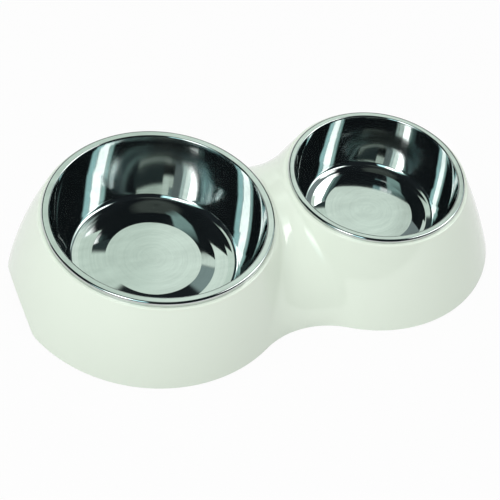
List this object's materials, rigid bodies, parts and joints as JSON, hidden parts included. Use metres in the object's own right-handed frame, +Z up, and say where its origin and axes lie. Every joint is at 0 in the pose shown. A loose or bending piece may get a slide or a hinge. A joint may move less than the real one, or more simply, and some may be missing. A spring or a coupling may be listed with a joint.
{
  "type": "double pet bowl",
  "caption": "Moulded figure-of-eight pet feeder: a glossy stand with a low saddle between its lobes, lift-out steel bowls hung by their rims, rubber feet and a finger recess at the large end.",
  "frame": {"origin": "on the floor, under the middle of the stand's length and width", "axes": "+X along the stand from the large bowl to the small bowl, +Y across it, +Z up"},
  "size_m": [0.3076, 0.176, 0.0568],
  "materials": {
    "melamine": "glossy off-white melamine",
    "steel": "polished walls, satin brushed floors",
    "rubber": "matt dark rubber"
  },
  "bodies": {
    "stand": {"base_shell": "melamine", "foot_1": "rubber", "foot_2": "rubber", "foot_3": "rubber", "foot_4": "rubber", "foot_5": "rubber", "foot_6": "rubber"},
    "large_bowl": {"large_bowl": "steel"},
    "small_bowl": {"small_bowl": "steel"}
  },
  "joints": [
    {"name": "large_bowl_lift", "type": "slide", "parent": "stand", "child": "large_bowl", "axis": [0, 0, 1], "range_m": [0, 0.06]},
    {"name": "small_bowl_lift", "type": "slide", "parent": "stand", "child": "small_bowl", "axis": [0, 0, 1], "range_m": [0, 0.06]}
  ]
}
